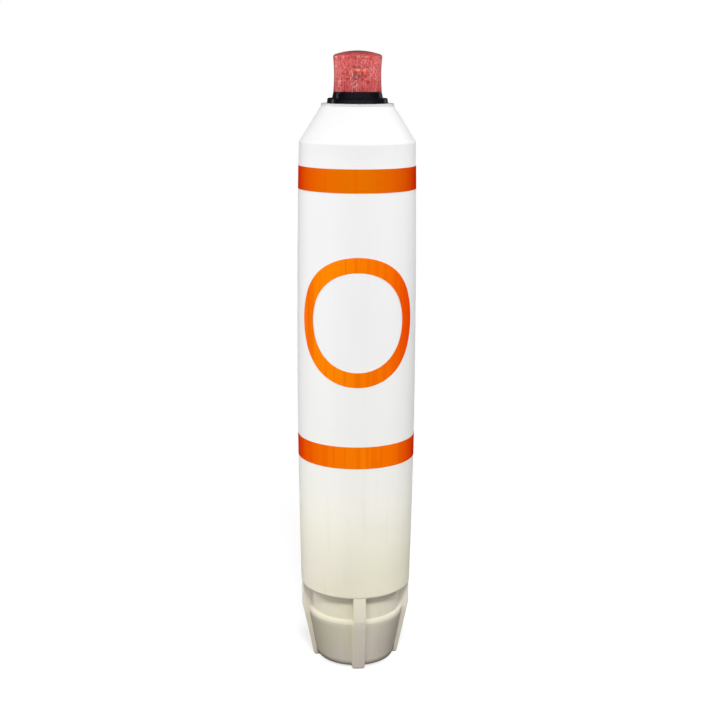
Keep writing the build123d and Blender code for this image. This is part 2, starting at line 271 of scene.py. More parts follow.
@dataclass(frozen=True)
class Finish:
    """A surface finish. A subclass says how it varies over the surface."""

    name: str
    slot: str

    def sockets(self, graph: Graph) -> Sockets:
        """Values and wires of the surface shader's sockets.

        Args:
            graph: The material's graph.

        Returns:
            Sockets by name.
        """
        raise NotImplementedError

    def surface(self, graph: Graph) -> Wire:
        """The surface shader."""
        return graph.node("BsdfPrincipled", {}, self.sockets(graph))

    def material(self) -> bpy.types.Material:
        """The finish's material, made the first time that it is asked for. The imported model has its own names."""
        name = "finish_" + self.name
        made = bpy.data.materials.get(name)
        if made is None:
            made = bpy.data.materials.new(name)
            made.use_nodes = True
            graph = Graph(made.node_tree)
            graph.node("OutputMaterial", {}, {"Surface": self.surface(graph)})
        return made


# Finishes of the can


@dataclass(frozen=True)
class CanPlastic(Finish):
    """Moulded can: white above and ivory below, darker on the cup partly as painted shade, with grime and painted
    shade in the groove and painted shade in the folds of the base.
    """

    name: str = "can_plastic"
    slot: str = "hull_plastic"
    top_height: float = 1.2985
    waist_height: float = 0.187
    waist_radius: float = 0.115
    cup_height: float = 0.118
    rib_half: float = 0.0150
    # Tones by share of the height: darker and greyer on the cup, partly as painted shade.
    tones: Stops = (
        (0.000, ink(205, 197, 184)), (0.080, ink(212, 205, 190)), (0.093, ink(221, 215, 200)),
        (0.146, ink(234, 229, 212)), (0.200, ink(235, 231, 213)), (0.260, ink(240, 237, 222)),
        (0.310, ink(242, 240, 230)), (0.360, ink(239, 238, 233)), (0.450, ink(236, 236, 234)),
        (0.650, ink(234, 233, 234)), (0.800, ink(232, 231, 232)), (0.910, ink(231, 230, 231)),
        (0.935, ink(227, 227, 227)), (1.000, ink(223, 223, 223)),
    )
    # Colour of dirt runs and clouds, and of the shade painted in the groove and at the rib roots.
    grime_and_shade: Colour = ink(168, 160, 128)
    scuff: Colour = ink(205, 202, 194)
    painted_shade: Colour = ink(114, 106, 96)
    # Colour of the shade painted into the base's folds.
    olive: Colour = ink(208, 208, 160)
    rose: Colour = ink(216, 202, 204)

    def shade(self, z: Wire, radius: Wire, sideways: Wire) -> Wire:
        """Share of the painted shade's colour in the folds of the base, between the ribs.

        Args:
            z: Height of the point.
            radius: Its distance from the Z axis.
            sideways: X over the radius, which is 0 at the front and 1 or -1 at the sides.

        Returns:
            The share of painted shade: a little at the waist's rounded edge, more in the painted shadow under it and
                on the cup's flanks, and most at its rim.
        """
        # Painted shade: a little on the waist's rounded edge, a painted shadow under it, and darker flanks and rim
        # of the cup.
        above = z.rise(self.waist_height - 0.0004, self.waist_height + 0.0002)
        edge = z.rise(self.waist_height + 0.0085, self.waist_height + 0.0005) * above
        under = z.rise(self.waist_height - 0.026, self.waist_height - 0.018) * (1 - above)
        under = under * radius.rise(0.1105, 0.1065)
        rim = z.rise(0.0200, 0.0055)
        flanks = sideways ** 2.0 * z.rise(self.cup_height, self.cup_height - 0.014)
        return edge * 0.05 + under * 0.22 + rim * 0.90 + flanks * 0.54

    def sockets(self, graph: Graph) -> Sockets:
        """Colour by height, by dirt, and by painted shade in the groove, at the rib roots and in the base's folds,
        with clouds, runs, scuffs and an orange-peel relief.

        Args:
            graph: The material's graph.

        Returns:
            Sockets by name.
        """
        at = graph.place()
        x, y, z = graph.split(at)
        radius = length(x, y)
        tone = graph.node("ValToRGB", {"stops": self.tones}, {"Fac": z / self.top_height})
        clouds = graph.noise(at, 9.0, 3.0)
        runs = graph.stretched(at, (70.0, 70.0, 4.0), 3.0)
        dirt_and_shade = (runs.rise(0.52, 0.80) * 0.10 + clouds.rise(0.5, 0.8) * 0.08) * (0.25 + z.rise(0.75, 0.10))
        # Painted shade in the groove under the waist, partly grime that gathers there.
        groove = z.rise(self.waist_height + 0.010, self.waist_height - 0.020)
        groove = groove * radius.rise(self.waist_radius, self.waist_radius - 0.015)
        dirt_and_shade = dirt_and_shade + groove * (0.08 + 0.10 * graph.noise(at, 45.0, 4.0))
        # Painted shade in the creases at the rib roots, partly grime.
        off_rib = graph.math("MINIMUM", abs(x), abs(y))
        beside = off_rib.rise(self.rib_half - 0.0004, self.rib_half) * radius.rise(0.0835, 0.0880)
        roots = beside * off_rib.rise(0.034, self.rib_half) * z.rise(0.186, 0.180) * radius.rise(0.116, 0.108)
        dirt_and_shade = dirt_and_shade + roots * (0.10 + 0.25 * graph.noise(at, 60.0, 3.0))
        tint = graph.mix(graph.noise(at, 7.0, 1.0).rise(0.42, 0.58), self.olive, self.rose)
        colour = graph.mix(z.rise(0.42, 0.15) * 0.16, graph.mix(dirt_and_shade, tone, self.grime_and_shade), tint)
        # Painted shade mixed into the folds of the base, beside the ribs.
        colour = graph.mix(beside * self.shade(z, radius, x / radius), colour, self.painted_shade)
        marks = graph.stretched(at, (26.0, 26.0, 210.0)).rise(0.70, 0.76)
        marks = marks * graph.noise(at, 14.0, 1.0).rise(0.55, 0.70)
        colour = graph.mix(marks * 0.30, colour, self.scuff)
        peel = graph.bump(graph.noise(at, 190.0, 2.0), 0.00012)
        return {
            "Base Color": colour, "Roughness": 0.42 + 0.10 * clouds + marks * 0.15 + dirt_and_shade * 0.6,
            "Normal": graph.bump(graph.noise(at, 1500.0, 1.0), 0.000012, peel), "Specular IOR Level": 0.35,
        }


class TapeCut(Enum):
    """The two shapes that the orange tape comes in."""

    BAND = "band"
    RING = "ring"


@dataclass(frozen=True)
class MarkerTape(Finish):
    """Orange reflective film with faint vertical bars, glass beads under its face and a pale cut edge."""

    name: str = "marker_tape"
    slot: str = "orange_tape"
    cut: TapeCut = TapeCut.BAND
    middle: float = 0.0
    azimuth: float = 0.0
    can_radius: float = 0.135
    half_width: float = 0.0254
    outer: float = 0.1445
    stroke: float = 0.0333
    edge: float = 0.0007
    # Stops across X, from -X to +X: the orange deepens towards +X as painted shade.
    tones: Stops = (
        (0.0, ink(255, 196, 24)), (0.3, ink(253, 178, 16)), (0.5, ink(249, 161, 12)), (0.7, ink(248, 156, 12)),
        (1.0, ink(240, 110, 14)),
    )
    pale: Colour = ink(250, 196, 110)
    deep: Colour = ink(232, 118, 8)
    film: Colour = (0.93, 0.52, 0.12, 1.0)

    def edge_share(self, graph: Graph, angle: Wire, z: Wire) -> Wire:
        """1 along the cut edges and 0 elsewhere.

        Args:
            graph: The material's graph; not used.
            angle: Azimuth of the point, in radians.
            z: Height of the point.

        Returns:
            The mask.
        """
        rise = z - self.middle
        if self.cut is TapeCut.BAND:
            return abs(rise).rise(self.half_width - self.edge, self.half_width - self.edge * 0.4)
        along = (angle - self.azimuth) * self.can_radius
        off = abs(length(along, rise) - (self.outer - self.stroke / 2))
        return off.rise(self.stroke / 2 - self.edge, self.stroke / 2 - self.edge * 0.4)

    def sockets(self, graph: Graph) -> Sockets:
        """Orange that deepens towards one side as painted shade, with bars, beads and a few blisters.

        Args:
            graph: The material's graph.

        Returns:
            Sockets by name.
        """
        at = graph.place()
        x, y, z = graph.split(at)
        angle = graph.azimuth(x, y)
        # The ramp across X paints shade that deepens towards the +X side.
        tone = graph.node("ValToRGB", {"stops": self.tones}, {"Fac": x / (2 * self.can_radius) + 0.5})
        bars = graph.wrapped(angle, z, (11.0, 0.8, 0.0)).rise(0.52, 0.57)
        lines = graph.wrapped(angle, z, (40.0, 1.5, 3.0)).rise(0.66, 0.70)
        fine = graph.wrapped(angle, z, (150.0, 3.0, 0.0)).rise(0.5, 0.9)
        colour = graph.mix(bars * 0.30 + lines * 0.30 + fine * 0.25, tone, self.deep)
        beads = graph.cells(at, 1600.0)
        colour = graph.mix(self.edge_share(graph, angle, z) * 0.25, colour, self.pale)
        ripple = graph.bump(graph.noise(at, 60.0, 2.0), 0.00008)
        blister = graph.cells(at, 34.0).rise(0.16, 0.05) * graph.noise(at, 11.0, 0.0).rise(0.58, 0.62)
        relief = graph.bump(blister, 0.00025, ripple)
        relief = graph.bump(beads, 0.00001, relief)
        return {
            "Base Color": colour, "Roughness": 0.34 + 0.12 * beads, "Normal": relief, "Specular IOR Level": 0.02,
            "Coat Weight": 1.0, "Coat IOR": 1.02, "Coat Roughness": 0.2, "Coat Tint": self.film,
        }


# Finishes of metal


@dataclass(frozen=True)
class Galvanised(Finish):
    """Hot-dipped zinc: crystals of differing grey, with a fine bloom and small runs."""

    name: str = "galvanised"
    slot: str = "galvanised_steel"
    light: Colour = ink(176, 179, 181)
    dark: Colour = ink(124, 128, 131)
    bloom: Colour = ink(214, 214, 210)

    def sockets(self, graph: Graph) -> Sockets:
        """Crystals from random cells, whose roughness differs as their grey does.

        Args:
            graph: The material's graph.

        Returns:
            Sockets by name.
        """
        at = graph.place()
        warped = graph.vector("ADD", at, graph.vector(
            "MULTIPLY", graph.node("TexNoise", {}, {"Vector": at, "Scale": 120.0}, "Color"), (0.004, 0.004, 0.004)))
        crystal, _, _ = graph.split(graph.cells(warped, 130.0, "Color"))
        colour = graph.mix(crystal, self.dark, self.light)
        bloom = graph.noise(at, 60.0, 4.0).rise(0.50, 0.75)
        colour = graph.mix(bloom * 0.55, colour, self.bloom)
        relief = graph.bump(graph.noise(at, 240.0, 3.0), 0.00012)
        return {
            "Base Color": colour, "Metallic": 0.9 - 0.5 * bloom, "Roughness": 0.36 + 0.18 * crystal + 0.2 * bloom,
            "Normal": relief,
        }


@dataclass(frozen=True)
class TurnedMetal(Finish):
    """Bright metal with fine rings left by the lathe round the Z axis."""

    name: str = "turned_metal"
    slot: str = "plate_aluminium"
    bright: Colour = ink(216, 217, 218)
    dull: Colour = ink(176, 177, 178)
    ring_pitch: float = 0.0011
    metal: float = 1.0

    def sockets(self, graph: Graph) -> Sockets:
        """Rings as a sine of the radius, wavered by noise, with dull specks.

        Args:
            graph: The material's graph.

        Returns:
            Sockets by name.
        """
        at = graph.place()
        x, y, _ = graph.split(at)
        rings = graph.wave(length(x, y) * (tau / self.ring_pitch) + graph.noise(at, 30.0) * 3.0)
        specks = graph.noise(at, 320.0, 3.0).rise(0.52, 0.78)
        colour = graph.mix(rings * 0.25 + specks * 0.5, self.bright, self.dull)
        relief = graph.bump(rings, 0.00001)
        return {
            "Base Color": colour, "Metallic": self.metal, "Roughness": 0.30 + 0.08 * rings + 0.2 * specks,
            "Normal": graph.bump(specks, 0.00001, relief),
        }


@dataclass(frozen=True)
class CastIron(Finish):
    """Bare sand-cast iron with rust blooms."""

    name: str = "cast_iron"
    slot: str = "ballast_iron"
    iron: Colour = ink(62, 60, 58)
    rust: Colour = ink(112, 66, 40)

    def sockets(self, graph: Graph) -> Sockets:
        """Grey with rust where a noise is high, over a sandy relief.

        Args:
            graph: The material's graph.

        Returns:
            Sockets by name.
        """
        at = graph.place()
        rust = graph.noise(at, 30.0, 5.0).rise(0.5, 0.65)
        return {
            "Base Color": graph.mix(rust, self.iron, self.rust), "Metallic": 0.5 - 0.5 * rust,
            "Roughness": 0.65 + 0.25 * rust, "Normal": graph.bump(graph.noise(at, 700.0, 3.0), 0.0003),
        }


# Finishes of plastic and rubber


@dataclass(frozen=True)
class PlainPlastic(Finish):
    """Injection-moulded plastic: one colour with a light dust and a fine grain."""

    name: str = "black_plastic"
    slot: str = "black_plastic"
    body: Colour = ink(7, 6, 12)
    dust: Colour = ink(44, 42, 52)
    dusting: float = 0.06
    gloss: float = 0.20
    grain: float = 0.00002
    shine: float = 0.30

    def sockets(self, graph: Graph) -> Sockets:
        """Body colour with dust in clouds, rougher where dusty, over the grain.

        Args:
            graph: The material's graph.

        Returns:
            Sockets by name.
        """
        at = graph.place()
        dust = graph.noise(at, 70.0, 4.0).rise(0.45, 0.85) * self.dusting
        colour = graph.mix(dust, self.body, self.dust)
        relief = graph.bump(graph.noise(at, 2600.0, 1.0), self.grain)
        wave = graph.bump(graph.noise(at, 55.0, 1.0), self.grain * 2, relief)
        return {
            "Base Color": colour, "Roughness": self.gloss + dust * 1.2 + 0.06 * graph.noise(at, 25.0),
            "Normal": wave, "Specular IOR Level": self.shine,
        }


@dataclass(frozen=True)
class RedLens(Finish):
    """Clear red moulding with painted light and shade in its colour: paler streaks, grains and glints and deeper
    spots stand for what its prisms and pebbles make of the parts inside.
    """

    name: str = "red_lens"
    slot: str = "lens_red"
    red: Colour = (0.81, 0.20, 0.21, 1.0)
    # pale, deep and glint are the colours of the painted light, shade and highlights.
    pale: Colour = (1.0, 0.64, 0.58, 1.0)
    deep: Colour = (0.50, 0.02, 0.035, 1.0)
    glint: Colour = (1.0, 0.93, 0.86, 1.0)
    # Colour of dark flecks painted on the crown where the dark panel shows through.
    painted_dark_fleck: Colour = (0.09, 0.008, 0.014, 1.0)
    prism_count: int = 96
    line_count: int = 66
    clear_share: float = 0.74
    crown: float = 1.4135

    def sockets(self, graph: Graph) -> Sockets:
        """Red with painted light in paler streaks and grains and glints on the lines, painted shade in deeper spots
        and towards the bottom, and painted dark flecks on the crown.

        Args:
            graph: The material's graph.

        Returns:
            Sockets by name.
        """
        at = graph.place()
        x, y, z = graph.split(at)
        angle = graph.azimuth(x, y)
        prisms = graph.wave(angle * float(self.prism_count))
        lines = graph.wave(angle * float(self.line_count))
        pebbles = graph.noise(at, 330.0, 2.0)
        streaks = graph.wrapped(angle, z, (17.0, 50.0, 0.0), 2.0)
        columns = graph.wrapped(angle, z, (4.5, 14.0, 0.0))
        grains = graph.stretched(at, (280.0, 280.0, 240.0), 2.0, 0.6)
        spots = graph.stretched(at, (240.0, 240.0, 150.0), 2.0, 0.6)
        body = z.rise(self.crown - 0.005, self.crown - 0.010)
        low = z.rise(self.crown - 0.0335, self.crown - 0.0785)
        # Painted light: paler streaks and grains, stronger in pale columns.
        painted_light = streaks.rise(0.46, 0.60) * (0.16 + 0.36 * lines) + grains.rise(0.50, 0.60) * 0.75
        painted_light = painted_light * (0.55 + 0.75 * columns.rise(0.42, 0.60))
        colour = graph.mix(painted_light * body, self.red, self.pale)
        # Painted shade: deeper spots, and deeper towards the lens's bottom.
        painted_lens_shade = spots.rise(0.50, 0.40) * (0.90 - 0.45 * lines) * (1.1 - 0.4 * columns.rise(0.40, 0.58))
        colour = graph.mix(painted_lens_shade * body + 0.14 * low, colour, self.deep)
        # Painted dark flecks along the crown, for the dark panel seen through it.
        flecks = z.rise(self.crown - 0.001, self.crown) * graph.noise(at, 105.0, 3.0, 0.6).rise(0.48, 0.53)
        colour = graph.mix(flecks * 0.95, colour, self.painted_dark_fleck)
        # Painted highlights: glints on the lines.
        glints = grains.rise(0.54, 0.62) * columns.rise(0.48, 0.58) * lines.rise(0.45, 0.85)
        colour = graph.mix(glints * body, colour, self.glint)
        relief = graph.bump(prisms, 0.00015)
        relief = graph.bump(pebbles, 0.0009, relief)
        return {
            "Base Color": colour, "Roughness": 0.06 + 0.12 * pebbles, "Normal": relief,
            "Transmission Weight": self.clear_share, "IOR": 1.14,
        }


@dataclass(frozen=True)
class AmberLamp(Finish):
    """Clear amber lamp bodies with a painted glow: a faint emission that stands for light caught in their tinted
    resin.
    """

    name: str = "amber_lamp"
    slot: str = "lamp_amber"
    amber: Colour = ink(250, 150, 30)
    painted_glow: Colour = ink(255, 190, 60)

    def sockets(self, graph: Graph) -> Sockets:
        """Amber with a painted glow, an emission that is stronger in its clouds.

        Args:
            graph: The material's graph.

        Returns:
            Sockets by name.
        """
        at = graph.place()
        clouds = graph.noise(at, 500.0, 2.0)
        return {
            "Base Color": graph.mix(clouds, self.amber, ink(255, 190, 90)), "Roughness": 0.08 + 0.1 * clouds,
            # Painted glow: emission standing for light caught in the amber.
            "Emission Color": graph.mix(clouds, self.painted_glow, ink(255, 225, 130)), "Emission Strength": 1.3,
            "Coat Weight": 0.5,
        }


@dataclass(frozen=True)
class SolarSheet(Finish):
    """Backing of the solar panel: dark blue-violet film with a faint weave."""

    name: str = "solar_sheet"
    slot: str = "panel_cells"
    film: Colour = ink(34, 28, 48)
    thread: Colour = ink(60, 52, 74)
    pitch: float = 0.0008

    def sockets(self, graph: Graph) -> Sockets:
        """Weave as the product of two sines.

        Args:
            graph: The material's graph.

        Returns:
            Sockets by name.
        """
        at = graph.place()
        x, y, _ = graph.split(at)
        turn = tau / self.pitch
        weave = graph.math("SINE", x * turn) * graph.math("SINE", y * turn) * 0.5 + 0.5
        return {
            "Base Color": graph.mix(weave * 0.4, self.film, self.thread), "Roughness": 0.35 + 0.1 * weave,
            "Normal": graph.bump(weave, 0.00002), "Coat Weight": 0.6, "Coat Roughness": 0.1,
        }


@dataclass(frozen=True)
class SolarCell(Finish):
    """Silicon cell under a thin clear coat: dark blue, cloudy, with close fine fingers."""

    name: str = "solar_cell"
    slot: str = "panel_cells"
    deep: Colour = ink(16, 14, 42)
    lit: Colour = ink(44, 40, 92)
    finger: Colour = ink(140, 142, 150)
    finger_pitch: float = 0.0014

    def sockets(self, graph: Graph) -> Sockets:
        """Fingers where a sine of Y is near its top.

        Args:
            graph: The material's graph.

        Returns:
            Sockets by name.
        """
        at = graph.place()
        _, y, _ = graph.split(at)
        shade = graph.mix(graph.noise(at, 130.0, 3.0), self.deep, self.lit)
        fingers = graph.math("SINE", y * (tau / self.finger_pitch)).rise(0.93, 0.99)
        return {
            "Base Color": graph.mix(fingers, shade, self.finger), "Roughness": 0.25 + 0.15 * fingers,
            "Metallic": 0.3 * fingers, "Coat Weight": 0.8, "Coat Roughness": 0.06,
            "Normal": graph.bump(fingers, 0.00002),
        }


@dataclass(frozen=True)
class BoardMask(Finish):
    """Green solder mask over copper tracks, with tinned pads showing in places."""

    name: str = "board_mask"
    slot: str = "board_green"
    mask: Colour = ink(38, 98, 62)
    track: Colour = ink(66, 132, 84)
    pad: Colour = ink(196, 190, 170)
    bare: Colour = ink(236, 224, 170)
    rim: float = 0.0436

    def sockets(self, graph: Graph) -> Sockets:
        """Tracks along the edges of square cells, pads as spots, and the bare laminate of the rim.

        Args:
            graph: The material's graph.

        Returns:
            Sockets by name.
        """
        at = graph.place()
        tracks = graph.node(
            "TexVoronoi", {"feature": "DISTANCE_TO_EDGE"}, {"Vector": at, "Scale": 210.0, "Randomness": 0.35})
        tracks = tracks.rise(0.14, 0.09)
        spots = graph.node("TexVoronoi", {}, {"Vector": at, "Scale": 260.0, "Randomness": 0.2}).rise(0.20, 0.14)
        spots = spots * graph.noise(at, 90.0).rise(0.52, 0.56)
        colour = graph.mix(spots, graph.mix(tracks, self.mask, self.track), self.pad)
        x, y, _ = graph.split(at)
        colour = graph.mix(length(x, y).rise(self.rim - 0.0004, self.rim), colour, self.bare)
        return {
            "Base Color": colour, "Roughness": 0.35 - 0.1 * spots, "Metallic": 0.8 * spots,
            "Normal": graph.bump(tracks, 0.00003), "Specular IOR Level": 0.5,
        }


@dataclass(frozen=True)
class CellWrap(Finish):
    """Shrink wrap on the battery cells: pale, with a plain coloured band along each cell."""

    name: str = "cell_wrap"
    slot: str = "cell_wrap"
    wrap: Colour = ink(214, 216, 210)
    band: Colour = ink(62, 132, 96)

    def sockets(self, graph: Graph) -> Sockets:
        """Band over the far third, with a crinkled relief.

        Args:
            graph: The material's graph.

        Returns:
            Sockets by name.
        """
        at = graph.place()
        _, y, _ = graph.split(at)
        band = y.rise(0.0095, 0.0100)
        crinkle = graph.stretched(at, (300.0, 60.0, 300.0), 3.0)
        return {
            "Base Color": graph.mix(band, self.wrap, self.band), "Roughness": 0.25 + 0.2 * crinkle,
            "Normal": graph.bump(crinkle, 0.0002),
        }


# Finishes used again and again, each made once

CAN = CanPlastic()
PLUG = PlainPlastic("plug_plastic", "plug_plastic", ink(206, 202, 188), ink(150, 146, 128), 0.5, 0.45, 0.00003)
BLACK = PlainPlastic()
RUBBER = PlainPlastic("seal_rubber", "seal_rubber", ink(24, 24, 24), ink(70, 70, 68), 0.3, 0.75, 0.00006, 0.2)
TRAY = PlainPlastic("tray_plastic", "tray_black", ink(30, 30, 32), ink(80, 80, 80), 0.2, 0.5, 0.00003)
TRAY_WHITE = PlainPlastic("white_tray", "tray_white", ink(226, 226, 222), ink(176, 172, 164), 0.2, 0.5, 0.00003)
CHIP = PlainPlastic("chip_epoxy", "black_plastic", ink(26, 26, 28), ink(90, 90, 90), 0.25, 0.55, 0.00003)
TERMINAL = PlainPlastic("terminal_moulding", "terminal_green", ink(196, 200, 88), ink(160, 160, 96), 0.3, 0.35)
CERAMIC = PlainPlastic("part_ceramic", "terminal_green", ink(190, 176, 140), ink(150, 140, 110), 0.4, 0.5)
ZINC = Galvanised()
PLATE = TurnedMetal("satin_plate", "plate_aluminium", ink(210, 211, 212), ink(194, 195, 196), 0.0016, 0.0)
# The tower's dark finish is made darker still to paint shade in the middle of the lens.
TOWER = TurnedMetal("dark_metal", "post_metal", ink(70, 50, 48), ink(48, 34, 34), 0.0006)
TIN = TurnedMetal("tinned_metal", "post_metal", ink(206, 206, 202), ink(160, 160, 158), 0.0006)
STAINLESS = TurnedMetal("stainless_screw", "post_metal", ink(202, 202, 200), ink(150, 150, 150), 0.0005)
IRON = CastIron()
LENS = RedLens()
AMBER = AmberLamp()
SHEET = SolarSheet()
CELL = SolarCell()
BOARD = BoardMask()
WRAP = CellWrap()


# Surfaces


def carried_round(profile: np.ndarray, columns: int = 48) -> np.ndarray:
    """Surface of revolution.

    A profile point (r, z) at the angle a lies at (r cos a, r sin a, z).

    Args:
        profile: Points (r, z), rows by 2.
        columns: Steps round the Z axis.

    Returns:
        Grid of points, rows by columns by 3.
    """
    angles = np.arange(columns) * tau / columns
    radii = profile[:, :1]
    heights = np.repeat(profile[:, 1:], columns, axis=1)
    return np.stack([radii * np.cos(angles), radii * np.sin(angles), heights], axis=-1)


def soft_block(size: Triple, power: float = 0.22, rows: int = 10, columns: int = 24) -> np.ndarray:
    """Block with rounded edges: a superellipsoid.

    With C and S the cosine and sine of the two angles, raised to a small power with their sign kept, a point
    lies at (a C(v) C(u), b C(v) S(u), c S(v)), where a, b and c are half the size.

    Args:
        size: Length, width and height.
        power: Near 0 gives sharp edges, 1 an ellipsoid.
        rows: Steps from pole to pole.
        columns: Steps round.

    Returns:
        Grid of points, closed at its two poles.
    """
    def eased(values: np.ndarray) -> np.ndarray:
        """Values raised to the power with their sign kept."""
        return np.sign(values) * np.abs(np.round(values, 12)) ** power

    v = np.linspace(-pi / 2, pi / 2, rows + 1)[:, None]
    u = np.arange(columns)[None, :] * tau / columns
    out, up = eased(np.cos(v)), eased(np.sin(v))
    return np.stack([out * eased(np.cos(u)), out * eased(np.sin(u)), up + 0 * u], axis=-1) * np.array(size) / 2


class Recess(Enum):
    """Drives cut into screw heads."""

    CROSS = "cross"
    SLOT = "slot"


def screw_head(radius: float, height: float, drive: Recess, rows: int = 26, columns: int = 64) -> np.ndarray:
    """Domed screw head with a drive recess, its underside on the floor.

    The top is z = h (1 - 0.3 (r/R)^2), lowered inside the drive's arms, whose mask is the product of two clipped
    ramps: one over the distance from the arm's middle line, one over the arm's length. The side falls to z = 0.

    Args:
        radius: Radius of the head.
        height: Height at its middle.
        drive: Shape of the recess.
        rows: Steps from the middle to the rim.
        columns: Steps round.

    Returns:
        Grid of points, closed at the middle of the top.
    """
    reach = np.linspace(0, 1, rows)[:, None] * radius
    angles = np.arange(columns)[None, :] * tau / columns
    x, y = reach * np.cos(angles), reach * np.sin(angles)
    near, far = (np.abs(y), np.abs(x)) if drive is Recess.SLOT else (
        np.minimum(np.abs(x), np.abs(y)), np.maximum(np.abs(x), np.abs(y)))
    arm, soft = 0.16 * radius, 0.08 * radius
    arm_end = (1.2 if drive is Recess.SLOT else 0.62) * radius
    sunk = np.clip((arm - near) / soft + 0.5, 0, 1) * np.clip((arm_end - far) / soft + 0.5, 0, 1)
    z = height * (1 - 0.3 * (reach / radius) ** 2) - 0.45 * height * sunk
    top = np.stack([x, y, z], axis=-1)
    side = np.stack([1.02 * x[-1], 1.02 * y[-1], np.full(columns, 0.5 * height)], axis=-1)
    foot = np.stack([x[-1], y[-1], np.zeros(columns)], axis=-1)
    return np.concatenate([top, side[None], foot[None]])


def hex_head(across_flats: float, height: float, rows: int = 8, columns: int = 72) -> np.ndarray:
    """Hexagon bolt head, its underside on the floor.

    The radius at an angle is that of a hexagon, half the flats over the cosine of the angle to the nearest flat's
    middle, cut down by a chamfer cone near the top.

    Args:
        across_flats: Width over the flats.
        height: Height.
        rows: Steps up the side.
        columns: Steps round.

    Returns:
        Grid of points, open at both ends.
    """
    angles = np.arange(columns)[None, :] * tau / columns
    z = np.linspace(0, 1, rows)[:, None] * height
    hexagon = across_flats / 2 / np.cos((angles + pi / 6) % (pi / 3) - pi / 6)
    cone = across_flats / 2 * 0.96 + 1.7 * (height - z)
    reach = np.minimum(hexagon, cone)
    return np.stack([reach * np.cos(angles), reach * np.sin(angles), z + 0 * angles], axis=-1)


def washer(radius: float, thickness: float, chamfer: float = 0.0) -> np.ndarray:
    """Flat washer without its hidden hole, its underside on the floor.

    Args:
        radius: Outer radius.
        thickness: Thickness.
        chamfer: Width of the chamfer round its top, which is 0.3 of the thickness high.

    Returns:
        Grid of points, closed at its poles.
    """
    side = [(radius, thickness * 0.7), (radius - chamfer, thickness)] if chamfer else [(radius, thickness)]
    return carried_round(np.array([(0.0, 0.0), (radius, 0.0), *side, (0.0, thickness)]))


def moved(grid: np.ndarray, place: Triple = (0, 0, 0), turn: float = 0.0, flip: bool = False) -> np.ndarray:
    """Grid turned about Z, upended if asked, and put in its place.

    Args:
        grid: Points, with 3 as the last size.
        place: Where its origin goes.
        turn: Angle about Z, in radians.
        flip: True upends it first, by half a turn about X.

    Returns:
        The moved grid.
    """
    spin = np.array([[cos(turn), -sin(turn), 0], [sin(turn), cos(turn), 0], [0, 0, 1]])
    upend = np.diag([1.0, -1.0, -1.0]) if flip else np.eye(3)
    return grid @ (spin @ upend).T + np.array(place)


class Shell:
    """Closed surfaces gathered into one mesh."""

    def __init__(self) -> None:
        """Starts with nothing."""
        self.points: list[np.ndarray] = []
        self.faces: list[list[int]] = []
        self.count = 0

    def add(self, grid: np.ndarray) -> "Shell":
        """Adds a tube of points, closed round its columns and over both ends.

        An end row whose points are all one place is a pole. Any other end is closed by a fan to its middle. The
        faces are turned outwards by the sign of the volume that they enclose.

        Args:
            grid: Points, rows by columns by 3.

        Returns:
            The shell itself, for the next call.
        """
        rings, ends = grid, [grid[0].mean(axis=0), grid[-1].mean(axis=0)]
        if np.ptp(grid[0], axis=0).max() < 1e-9:
            rings = rings[1:]
        if np.ptp(grid[-1], axis=0).max() < 1e-9:
            rings = rings[:-1]
        rows, columns, _ = rings.shape
        index = np.arange(rows * columns).reshape(rows, columns)
        after = np.roll(index, -1, axis=1)
        quads = np.stack([index[:-1], after[:-1], after[1:], index[1:]], axis=-1).reshape(-1, 4)
        first, last = rows * columns, rows * columns + 1
        fans = np.concatenate([
            np.stack([after[0], index[0], np.full(columns, first)], axis=-1),
            np.stack([index[-1], after[-1], np.full(columns, last)], axis=-1),
        ])
        points = np.concatenate([rings.reshape(-1, 3), np.array(ends)])
        corners = np.concatenate([quads[:, [0, 1, 2]], quads[:, [0, 2, 3]], fans])
        a, b, c = (points[corners[:, i]] for i in range(3))
        if np.einsum("ij,ij->i", a, np.cross(b, c)).sum() < 0:
            quads, fans = quads[:, ::-1], fans[:, ::-1]
        self.points.append(points)
        self.faces += (quads + self.count).tolist() + (fans + self.count).tolist()
        self.count += len(points)
        return self

    def piece(self, name: str, finish: Finish, crease: float = 40.0) -> bpy.types.Object:
        """Makes the gathered surfaces a piece of the buoy.

        Args:
            name: Name of the piece.
            finish: Its finish.
            crease: Angle between faces, in degrees, above which an edge stays sharp.

        Returns:
            The piece, riding on the buoy's body.
        """
        mesh = bpy.data.meshes.new(name)
        mesh.from_pydata(np.concatenate(self.points).tolist(), [], self.faces)
        mesh.polygons.foreach_set("use_smooth", np.ones(len(mesh.polygons), dtype=bool))
        mesh.set_sharp_from_angle(angle=radians(crease))
        mesh.materials.append(finish.material())
        made = bpy.data.objects.new(name, mesh)
        bpy.context.scene.collection.objects.link(made)
        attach(made, BODY)
        LOG.info("piece %s: %d faces, %s", name, len(mesh.polygons), finish.name)
        return made


def dress(finish: Finish, *nodes: str) -> None:
    """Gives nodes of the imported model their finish.

    Args:
        finish: The finish.
        nodes: Names of the nodes.
    """
    for node in nodes:
        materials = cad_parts[node].data.materials
        materials.clear()
        materials.append(finish.material())
        LOG.info("node %s: %s", node, finish.name)


def on_circle(count: int, radius: float, first: float = 0.0) -> list[tuple[float, float, float]]:
    """X, Y and azimuth of places evenly spaced on a circle, the first at an azimuth in radians."""
    angles = [first + index * tau / count for index in range(count)]
    return [(radius * cos(angle), radius * sin(angle), angle) for angle in angles]


# Sub-assemblies


